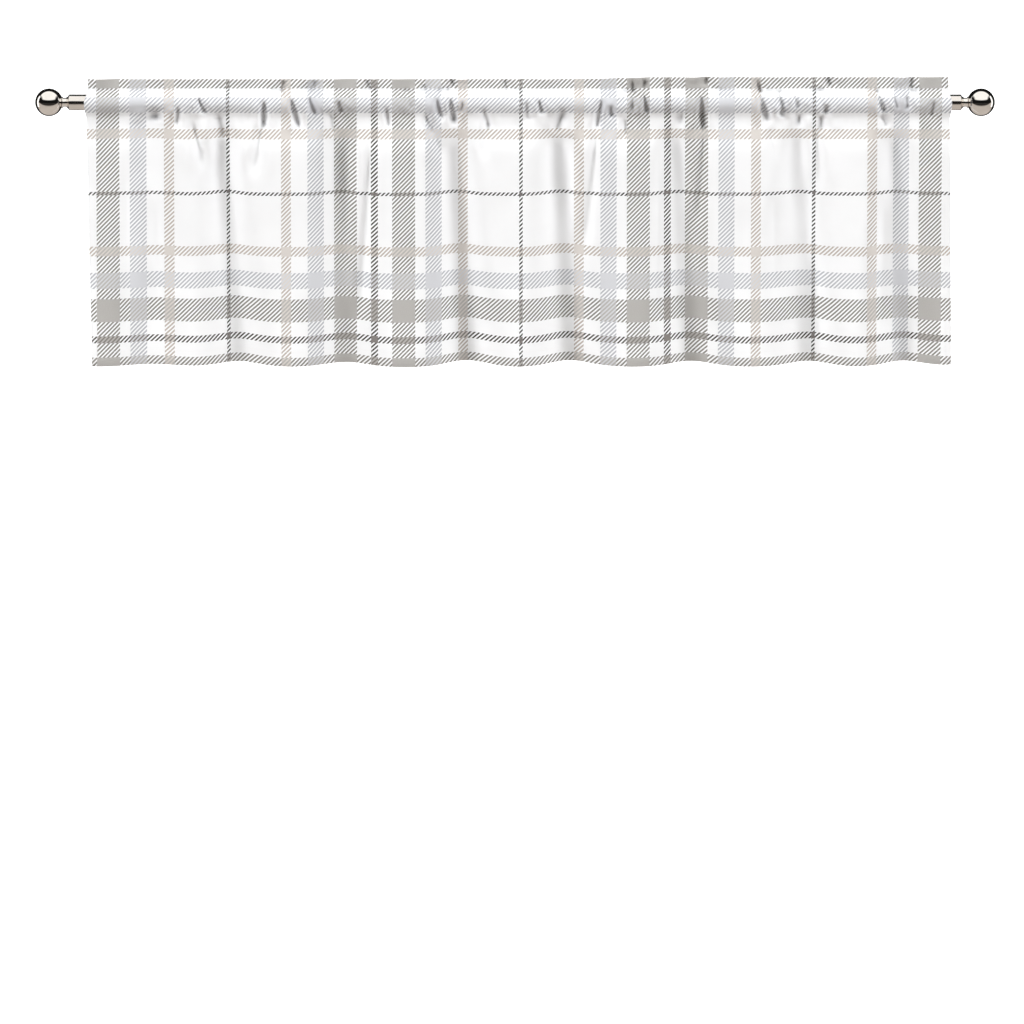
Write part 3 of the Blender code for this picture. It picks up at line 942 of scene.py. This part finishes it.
def keep_off_rod(points):
    """Moves any point of the pocket that lies too near the rod back out to its least distance."""
    distance = np.hypot(points[:, :, 1], points[:, :, 2])
    grow = np.maximum(POCKET_LEAST_RADIUS / distance, 1.0)
    points[:, :, 1] *= grow
    points[:, :, 2] *= grow


def side_hem(strip, side):
    """The side hem, turned behind the hanging layer: its points and print places, from the edge inwards.
    side is 0 for the left edge and -1 for the right one."""
    first, last = strip.drop_rows
    rows = strip.points[first:last + 1]
    outward = -1 if side == 0 else 1
    edge_x = rows[:, side, 0]
    places = [outward * LAYER_STEP / 2, 0.0, -outward * SIDE_HEM * 0.35, -outward * SIDE_HEM * 0.7,
              -outward * SIDE_HEM]
    steps = [LAYER_STEP / 2] + [LAYER_STEP] * (len(places) - 1)
    columns = []
    uvs = []
    for place, step in zip(places, steps):
        x = edge_x + place
        y = [np.interp(here, row[:, 0], row[:, 1]) for here, row in zip(x, rows)]
        z = [np.interp(here, row[:, 0], row[:, 2]) for here, row in zip(x, rows)]
        columns.append(np.stack([x, np.array(y) + step, np.array(z)], axis=1))
        run = strip.uv[first:last + 1, side].copy()
        run[:, 0] += outward * (LAYER_STEP + abs(place))
        uvs.append(run)
    return np.stack(columns, axis=1), np.stack(uvs, axis=1)


def add_grid_faces(faces, above, below):
    """Faces between two rows of the cloth, each given as its points' numbers. A fine row has two columns
    for each one of a coarse row."""
    coarse = min(len(above), len(below)) - 1
    above_step = (len(above) - 1) // coarse
    below_step = (len(below) - 1) // coarse
    for column in range(coarse):
        lower = below[column * below_step:(column + 1) * below_step + 1]
        upper = above[column * above_step:(column + 1) * above_step + 1]
        faces.append((*lower, *upper[::-1]))


def make_cloth_mesh(strip):
    """The cloth's single surface as a mesh, with its print places as a UV map."""
    points = []
    places = []
    rows = []
    for row, fine in enumerate(strip.fine):
        step = 1 if fine else 2
        start = len(points)
        points.extend(strip.points[row, ::step])
        places.extend(strip.uv[row, ::step])
        rows.append(np.arange(start, len(points)))
    faces = []
    for below, above in zip(rows, rows[1:]):
        add_grid_faces(faces, above.tolist(), below.tolist())
    first, last = strip.drop_rows
    for side in (0, -1):
        hem, hem_uv = side_hem(strip, side)
        numbers = np.arange(len(points), len(points) + hem.shape[0] * hem.shape[1]).reshape(hem.shape[:2])
        points.extend(hem.reshape(-1, 3))
        places.extend(hem_uv.reshape(-1, 2))
        edge = np.array([rows[row][side] for row in range(first, last + 1)])[:, None]
        grid = np.concatenate([edge, numbers], axis=1)
        if side == 0:
            grid = grid[:, ::-1]
        for below, above in zip(grid, grid[1:]):
            add_grid_faces(faces, above.tolist(), below.tolist())
    mesh = bpy.data.meshes.new("valance_cloth")
    mesh.from_pydata([tuple(point) for point in points], [], faces)
    layer = mesh.uv_layers.new(name="cloth")
    corners = np.zeros(len(mesh.loops), np.int32)
    mesh.loops.foreach_get("vertex_index", corners)
    layer.data.foreach_set("uv", np.array(places, np.float32)[corners].ravel())
    mesh.shade_smooth()
    return mesh


def add_piece(name, mesh, material_slot, *replaced):
    """Adds a piece to the scene, on the frame's body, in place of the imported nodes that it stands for."""
    piece = bpy.data.objects.new(name, mesh)
    bpy.context.scene.collection.objects.link(piece)
    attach(piece, BODY)
    if replaced:
        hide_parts(*replaced)
    return piece


def stitch_tree():
    """A node tree that lays one stitch after another along every line of a mesh."""
    tree = bpy.data.node_groups.new("stitch rows", "GeometryNodeTree")
    nodes = Nodes(tree)
    sockets = {}
    for name, kind in (("Lines", "NodeSocketGeometry"), ("Pitch", "NodeSocketFloat"),
                       ("Stitch Length", "NodeSocketFloat"), ("Thread Thickness", "NodeSocketFloat"),
                       ("Unevenness", "NodeSocketFloat"), ("Seed", "NodeSocketInt"),
                       ("Thread", "NodeSocketMaterial")):
        sockets[name] = tree.interface.new_socket(name=name, in_out="INPUT", socket_type=kind)
    tree.interface.new_socket(name="Stitches", in_out="OUTPUT", socket_type="NodeSocketGeometry")
    given = {name: nodes.node("NodeGroupInput", output=name) for name in sockets}

    curve = nodes.node("GeometryNodeMeshToCurve", None, {"Mesh": given["Lines"]})
    spots = nodes.node("GeometryNodeResampleCurve", {"mode": "LENGTH"},
                       {"Curve": curve, "Length": given["Pitch"]})
    ball = nodes.node("GeometryNodeMeshUVSphere", None, {"Segments": 6, "Rings": 4, "Radius": 0.5})
    size = nodes.node("ShaderNodeCombineXYZ", None, {"X": given["Stitch Length"],
                                                     "Y": given["Thread Thickness"],
                                                     "Z": given["Thread Thickness"]})
    stitch = nodes.node("GeometryNodeTransform", None, {"Geometry": ball, "Scale": size})
    stitch = nodes.node("GeometryNodeSetShadeSmooth", None, {"Geometry": stitch})
    tangent = nodes.node("GeometryNodeInputTangent")
    turn = nodes.node("FunctionNodeAlignRotationToVector", {"axis": "X"}, {"Vector": tangent})
    shortest = 1 - given["Unevenness"]
    uneven = nodes.node("FunctionNodeRandomValue", {"data_type": "FLOAT"},
                        {2: shortest, 3: 1.0, "Seed": given["Seed"]}, 1)
    scale = nodes.node("ShaderNodeCombineXYZ", None, {"X": uneven, "Y": 1.0, "Z": 1.0})
    laid = nodes.node("GeometryNodeInstanceOnPoints", None,
                      {"Points": spots, "Instance": stitch, "Rotation": turn, "Scale": scale})
    solid = nodes.node("GeometryNodeRealizeInstances", None, {"Geometry": laid})
    sewn = nodes.node("GeometryNodeSetMaterial", None, {"Geometry": solid, "Material": given["Thread"]})
    nodes.node("NodeGroupOutput", None, {"Stitches": sewn})
    return tree, {name: socket.identifier for name, socket in sockets.items()}


def stitch_lines(strip, lift):
    """The lines that the stitches follow, a little proud of the cloth: the header's and the pocket's rows,
    the hem's, and one up each side hem."""
    normals = surface_normals(strip.points)
    raised = strip.points + normals * lift
    first, last = strip.drop_rows
    inset = max(2, round(SIDE_HEM * 0.8 / (strip.points[first, 1, 0] - strip.points[first, 0, 0])))
    return [
        raised[strip.header_stitch],
        raised[strip.pocket_stitch],
        raised[strip.hem_line],
        raised[first + 1:last, inset],
        raised[first + 1:last, -1 - inset],
    ]


def lines_mesh(lines):
    points = []
    edges = []
    for line in lines:
        start = len(points)
        points.extend(tuple(point) for point in line)
        edges.extend((number, number + 1) for number in range(start, len(points) - 1))
    mesh = bpy.data.meshes.new("stitch lines")
    mesh.from_pydata(points, edges, [])
    return mesh


def arc(centre, radius, start, end, steps):
    """Points (distance, radius) along an arc about a point on the axis, by angle in degrees."""
    points = []
    for step in range(steps + 1):
        angle = math.radians(start + (end - start) * step / steps)
        points.append((centre - radius * math.cos(angle), radius * math.sin(angle)))
    return points


def ball_outline():
    """The ball, as (distance from its middle towards the rod, radius), with a flat seat for its collar."""
    seat_angle = 180 - math.degrees(math.asin(BALL_SEAT_RADIUS / BALL_RADIUS))
    points = arc(0.0, BALL_RADIUS, 0, seat_angle, 44)
    return points + [(points[-1][0], 0.0)]


def neck_outline():
    """The collar: a small rounded ring, a waisted neck, a flare up to the rod's size, and a plug inside."""
    seat = math.sqrt(BALL_RADIUS ** 2 - BALL_SEAT_RADIUS ** 2) + SEAT_GAP
    ring_middle = seat + RING_LENGTH / 2
    end = BALL_CENTRE - ROD_HALF_LENGTH - SEAT_GAP
    points = [(seat, 0.0)]
    for step in range(9):
        angle = math.pi * step / 8
        points.append((ring_middle - RING_LENGTH / 2 * math.cos(angle),
                       RING_RADIUS - 0.0008 + 0.0008 * math.sin(angle)))
    waist_middle = (WAIST_START + WAIST_END) / 2
    points.append((seat + RING_LENGTH, WAIST_RADIUS + 0.0008))
    steps = 20
    for step in range(steps + 1):
        distance = seat + RING_LENGTH + (FLARE_END - 0.0008 - seat - RING_LENGTH) * step / steps
        away = distance - waist_middle
        reach = FLARE_END - waist_middle if away > 0 else waist_middle - seat
        flare = ROD_RADIUS - 0.0002 - WAIST_RADIUS if away > 0 else 0.0008
        points.append((distance, WAIST_RADIUS + flare * abs(away / reach) ** 2.4))
    for step in range(5):
        angle = math.pi / 2 * step / 4
        points.append((FLARE_END - 0.0006 + 0.0005 * math.sin(angle),
                       ROD_RADIUS - 0.0006 + 0.0006 * math.sin(angle)))
    points.append((end, ROD_RADIUS))
    points.append((end, PLUG_RADIUS))
    points.append((end + PLUG_LENGTH, PLUG_RADIUS))
    points.append((end + PLUG_LENGTH, 0.0))
    return points


def rod_outline():
    """The tube, a wall with softened rims."""
    inner = ROD_RADIUS - ROD_WALL
    soft = 0.0002
    return [
        (-ROD_HALF_LENGTH, inner),
        (-ROD_HALF_LENGTH, ROD_RADIUS - soft),
        (-ROD_HALF_LENGTH + soft, ROD_RADIUS),
        (ROD_HALF_LENGTH - soft, ROD_RADIUS),
        (ROD_HALF_LENGTH, ROD_RADIUS - soft),
        (ROD_HALF_LENGTH, inner),
        (-ROD_HALF_LENGTH, inner),
    ]


def placed(outline, side):
    """An outline given from a ball's middle towards the rod, put at the left (-1) or right (1) end."""
    points = [(side * (BALL_CENTRE - distance), radius) for distance, radius in outline]
    return points if side < 0 else points[::-1]


def turned_mesh(name, outline, sides):
    """A piece turned round the rod's axis. outline lists its (x, radius) points, and its outer side
    runs from left to right. A radius of 0 is a pole."""
    points = []
    rings = []
    closed = outline[0] == outline[-1]
    for x, radius in outline[:-1] if closed else outline:
        count = 1 if radius == 0.0 else sides
        rings.append([len(points) + spot for spot in range(count)])
        for spot in range(count):
            angle = 2 * math.pi * spot / count
            points.append((x, -radius * math.sin(angle), radius * math.cos(angle)))
    if closed:
        rings.append(rings[0])
    faces = []
    for here, after in zip(rings, rings[1:]):
        for spot in range(sides):
            following = (spot + 1) % sides
            corners = [here[spot % len(here)], here[following % len(here)],
                       after[following % len(after)], after[spot % len(after)]]
            faces.append(tuple(dict.fromkeys(corners)))
    mesh = bpy.data.meshes.new(name)
    mesh.from_pydata(points, [], [face for face in faces if len(face) > 2])
    mesh.shade_smooth()
    mesh.set_sharp_from_angle(angle=math.radians(40))
    return mesh


# How far in front of the rod the floor is still dark, and from where it is pale
FLOOR_DARK_TO = -5.6
FLOOR_PALE_FROM = -3.2


def floor_below(settings):
    """The floor's colour round the valance: pale below it and dark towards the camera."""
    material, nodes, shader = new_material("floor below")
    place = nodes.node("ShaderNodeTexCoord", None, None, "Object")
    depth = nodes.parts(place)[1]
    nodes.feed(shader.inputs["Base Color"], nodes.mix(
        nodes.ranged(depth, 0.0, 1.0, FLOOR_DARK_TO, FLOOR_PALE_FROM),
        (*settings.floor_dark, 1.0), (*settings.floor_pale, 1.0)))
    shader.inputs["Roughness"].default_value = 0.9
    shader.inputs["Specular IOR Level"].default_value = 0.1
    return material


def floor_behind(settings):
    """The white floor that the camera sees behind the valance."""
    material, _, shader = new_material("floor behind")
    white = (*settings.floor_white, 1.0)
    shader.inputs["Base Color"].default_value = white
    # The floor also glows: painted light that keeps it white where the valance's shadow falls on it.
    shader.inputs["Emission Color"].default_value = white
    shader.inputs["Emission Strength"].default_value = settings.floor_glow
    shader.inputs["Roughness"].default_value = 0.9
    return material


def add_floor(name, near, far, settings, material):
    """A level stretch of floor between two distances behind the rod."""
    reach = settings.floor_reach
    mesh = bpy.data.meshes.new(name)
    mesh.from_pydata([(-reach, near, 0), (reach, near, 0), (reach, far, 0), (-reach, far, 0)],
                     [], [(0, 1, 2, 3)])
    mesh.materials.append(material)
    floor = bpy.data.objects.new(name, mesh)
    floor.location = (0.0, 0.0, -settings.floor_drop)
    bpy.context.scene.collection.objects.link(floor)
    return floor


def studio_world(settings):
    """A dark room with one large light overhead, which reaches a little behind the valance."""
    world = bpy.data.worlds.new("studio")
    world.use_nodes = True
    nodes = Nodes(world.node_tree)
    background = world.node_tree.nodes["Background"]
    place = nodes.node("ShaderNodeTexCoord", None, None, "Generated")
    aside, depth, upwards = nodes.parts(place)
    high = nodes.ranged(upwards, 0.0, 1.0, *OVERHEAD_EDGE)
    wide = nodes.ranged(abs(aside), 1.0, 0.0, *OVERHEAD_SIDE)
    front = nodes.ranged(upwards * OVERHEAD_BACK - depth, 0.0, 1.0, -0.04, 0.08)
    light = nodes.mix(high * wide * front, (ROOM_DARK, ROOM_DARK, ROOM_DARK, 1.0),
                      (settings.sky, settings.sky * 0.995, settings.sky * 0.97, 1.0))
    seen = nodes.node("ShaderNodeLightPath", None, None, "Is Camera Ray")
    nodes.feed(background.inputs["Color"], nodes.mix(seen, light, (0.88, 0.88, 0.88, 1.0)))
    bpy.context.scene.world = world


def add_light(name, place, target, size, power, colour):
    data = bpy.data.lights.new(name, "AREA")
    data.shape = "RECTANGLE"
    data.size, data.size_y = size
    data.energy = power
    data.color = colour
    light = bpy.data.objects.new(name, data)
    light.location = place
    light.rotation_euler = (Vector(target) - Vector(place)).to_track_quat("-Z", "Y").to_euler()
    bpy.context.scene.collection.objects.link(light)


def add_sun(name, source, strength, softness):
    """A light without fall-off, which comes from the direction of source and isn't mirrored in metal."""
    data = bpy.data.lights.new(name, "SUN")
    data.energy = strength
    data.angle = softness
    light = bpy.data.objects.new(name, data)
    light.location = source
    light.rotation_euler = (-Vector(source)).to_track_quat("-Z", "Y").to_euler()
    light.visible_glossy = False
    bpy.context.scene.collection.objects.link(light)


def add_camera(settings):
    """The camera, placed so that the rod's middle falls at its place in the picture at the right scale."""
    half = PICTURE_PIXELS / 2
    pixels_per_metre = 1 / METRES_PER_PIXEL
    tilt = settings.elevation
    below = (half - ROD_LINE) / (pixels_per_metre * math.cos(tilt))
    aside = (half - ROD_COLUMN) * METRES_PER_PIXEL
    scale_at_target = pixels_per_metre * (1 - below * math.sin(tilt) / settings.distance)
    target = Vector((aside, 0.0, -below))
    data = bpy.data.cameras.new("camera")
    data.sensor_width = 36.0
    data.lens = data.sensor_width / 2 * scale_at_target * settings.distance / half
    data.clip_end = 200.0
    camera = bpy.data.objects.new("camera", data)
    back = Vector((0.0, -math.cos(tilt), math.sin(tilt)))
    camera.location = target + back * settings.distance
    camera.rotation_euler = (-back).to_track_quat("-Z", "Y").to_euler()
    bpy.context.scene.collection.objects.link(camera)
    bpy.context.scene.camera = camera


class VALANCE_OT_cloth(Operator):
    """Make the printed valance with its header, rod pocket, folds, creases and hems"""

    bl_idname = "valance.cloth"
    bl_label = "Make the cloth"

    def execute(self, context):
        settings = context.scene.valance_cloth
        strip = cloth_strip(settings)
        if not np.isfinite(strip.points).all():
            raise RuntimeError("the cloth's points aren't all real numbers")
        cloth = add_piece("valance_cloth", make_cloth_mesh(strip), "cloth", "valance")
        cloth.data.materials.append(printed_cloth(settings))
        cloth.data.materials.append(cloth_reverse(settings))
        shell = cloth.modifiers.new("thickness", "SOLIDIFY")
        shell.thickness = settings.thickness
        shell.offset = 0.0
        shell.material_offset = 1
        return {"FINISHED"}


class VALANCE_OT_stitches(Operator):
    """Sew the header, the pocket, the hem and the side hems"""

    bl_idname = "valance.stitches"
    bl_label = "Sew the stitches"

    def execute(self, context):
        settings = context.scene.valance_stitches
        cloth = context.scene.valance_cloth
        strip = cloth_strip(cloth)
        lines = stitch_lines(strip, cloth.thickness / 2 + settings.thread / 4)
        guide = bpy.data.objects.new("stitch guide", lines_mesh(lines))
        context.scene.collection.objects.link(guide)
        tree, identifiers = stitch_tree()
        sewing = guide.modifiers.new("stitches", "NODES")
        sewing.node_group = tree
        thread = sewing_thread(settings)
        for name, value in (("Pitch", settings.pitch), ("Stitch Length", settings.length),
                            ("Thread Thickness", settings.thread), ("Unevenness", settings.unevenness),
                            ("Seed", settings.seed), ("Thread", thread)):
            sewing[identifiers[name]] = value
        evaluated = guide.evaluated_get(context.evaluated_depsgraph_get())
        mesh = bpy.data.meshes.new_from_object(evaluated)
        bpy.data.objects.remove(guide, do_unlink=True)
        if not mesh.polygons:
            raise RuntimeError("no stitches were made")
        mesh.name = "valance_stitching"
        add_piece("valance_stitching", mesh, "cloth")
        return {"FINISHED"}


class VALANCE_OT_rod(Operator):
    """Make the brushed metal tube that the valance hangs from"""

    bl_idname = "valance.rod"
    bl_label = "Make the rod"

    def execute(self, context):
        settings = context.scene.valance_metal
        rod = add_piece("curtain_rod", turned_mesh("curtain_rod", rod_outline(), settings.sides),
                        "rod_metal", "rod")
        rod.data.materials.append(brushed_nickel(settings))
        return {"FINISHED"}


class VALANCE_OT_finials(Operator):
    """Make the collar and the ball at each end of the rod"""

    bl_idname = "valance.finials"
    bl_label = "Make the finials"

    def execute(self, context):
        settings = context.scene.valance_metal
        nickel = polished_nickel(settings)
        for side, end in ((-1, "left"), (1, "right")):
            for part, outline in (("neck", neck_outline()), ("ball", ball_outline())):
                name = f"{part}_{end}"
                piece = add_piece(name, turned_mesh(name, placed(outline, side), settings.sides),
                                  "finial_metal", f"finial_{part}_{end}")
                piece.data.materials.append(nickel)
        return {"FINISHED"}


class VALANCE_OT_stage(Operator):
    """Set out the floor, the light and the camera"""

    bl_idname = "valance.stage"
    bl_label = "Set the stage"

    def execute(self, context):
        settings = context.scene.valance_stage
        add_floor("floor", -settings.floor_reach, FLOOR_PART, settings, floor_below(settings))
        behind = add_floor("floor behind", FLOOR_PART, settings.floor_reach, settings,
                           floor_behind(settings))
        behind.visible_glossy = False
        studio_world(settings)
        middle = (0.0, 0.0, -0.15)
        add_sun("key left", (-4.55, -2.60, 1.5), settings.key_strength, settings.key_softness)
        add_sun("key right", (4.45, -2.75, 1.5), settings.key_strength * 0.93, settings.key_softness)
        for side in (-1, 1):
            add_light(f"strip {'left' if side < 0 else 'right'}", (side * 2.9, 0.6, 0.1), middle,
                      (0.8, 2.4), settings.strip_power, (1.0, 1.0, 1.0))
        add_camera(settings)
        context.scene.view_settings.view_transform = "Standard"
        return {"FINISHED"}


class VALANCE_PT_panel(Panel):
    """The valance's pieces and their settings"""

    bl_idname = "VALANCE_PT_panel"
    bl_label = "Window valance"
    bl_space_type = "VIEW_3D"
    bl_region_type = "UI"
    bl_category = "Valance"

    def draw(self, context):
        layout = self.layout
        for operator in OPERATORS:
            layout.operator(operator.bl_idname)
        for name in SETTINGS:
            group = getattr(context.scene, name)
            box = layout.box()
            for setting in group.bl_rna.properties:
                if setting.identifier not in {"rna_type", "name"}:
                    box.prop(group, setting.identifier)


OPERATORS = (VALANCE_OT_cloth, VALANCE_OT_stitches, VALANCE_OT_rod, VALANCE_OT_finials, VALANCE_OT_stage)
SETTINGS = {
    "valance_cloth": ClothSettings,
    "valance_stitches": StitchSettings,
    "valance_metal": MetalSettings,
    "valance_stage": StageSettings,
}


def register():
    for made in (*SETTINGS.values(), *OPERATORS, VALANCE_PT_panel):
        bpy.utils.register_class(made)
    for name, group in SETTINGS.items():
        setattr(bpy.types.Scene, name, PointerProperty(type=group))


def unregister():
    for name in SETTINGS:
        delattr(bpy.types.Scene, name)
    for made in reversed((*SETTINGS.values(), *OPERATORS, VALANCE_PT_panel)):
        bpy.utils.unregister_class(made)


def main():
    register()
    bpy.ops.valance.rod()
    bpy.ops.valance.cloth()
    bpy.ops.valance.stitches()
    bpy.ops.valance.finials()
    bpy.ops.valance.stage()


if __name__ == "__main__":
    main()
